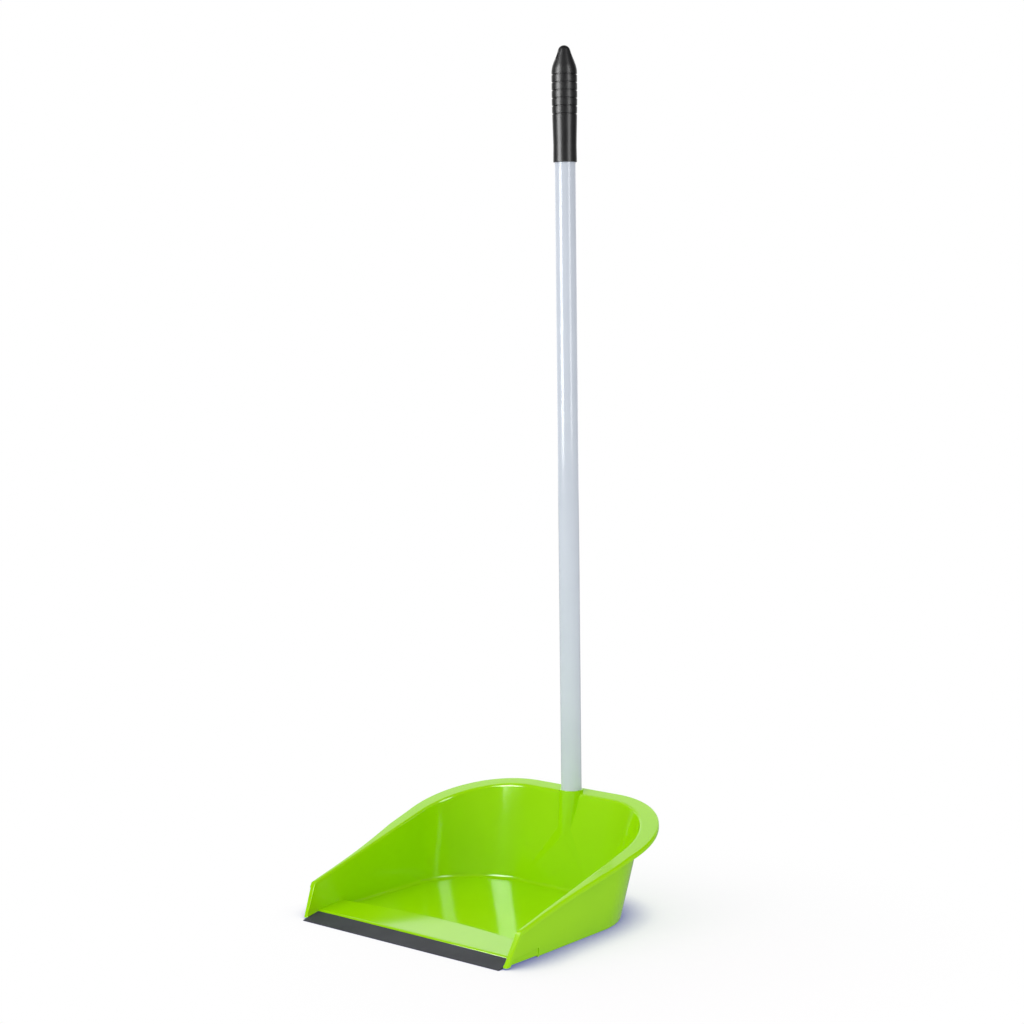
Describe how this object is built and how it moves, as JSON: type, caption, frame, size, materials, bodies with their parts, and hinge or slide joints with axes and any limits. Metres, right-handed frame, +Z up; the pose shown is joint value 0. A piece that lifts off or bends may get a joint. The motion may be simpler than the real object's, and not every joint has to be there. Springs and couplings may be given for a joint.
{
  "type": "upright dustpan",
  "caption": "Open plastic dustpan with high sloping sides, a broad turned rim, a rubber sweeping lip and a tall straight push-in handle with a ribbed grip.",
  "frame": {"origin": "on the floor, under the middle of the bounding box of the whole dustpan", "axes": "+Z up along the handle, -Y towards the sweeping lip, X across the pan"},
  "size_m": [0.311, 0.2932, 0.8956],
  "materials": {
    "pan_plastic": "glossy moulded lime green",
    "lip_rubber": "dark grey satin rubber",
    "tube_coating": "pale blue-grey satin coating on thin steel tube",
    "plug_plastic": "matt black",
    "grip_plastic": "semi-gloss black"
  },
  "bodies": {
    "pan": {"pan": "pan_plastic"},
    "lip": {"lip": "lip_rubber"},
    "handle": {"handle_tube": "tube_coating", "tube_plug": "plug_plastic", "grip": "grip_plastic"}
  },
  "joints": [
    {"name": "handle_pull", "type": "slide", "parent": "pan", "child": "handle", "axis": [0, 0, 1], "range_m": [0, 0.075]},
    {"name": "lip_flex", "type": "hinge", "parent": "pan", "child": "lip", "pos_m": [0, -0.12162, 0.0039], "axis": [-1, 0, 0], "range_deg": [-3, 10], "stiffness_Nm_per_rad": 0.25}
  ]
}
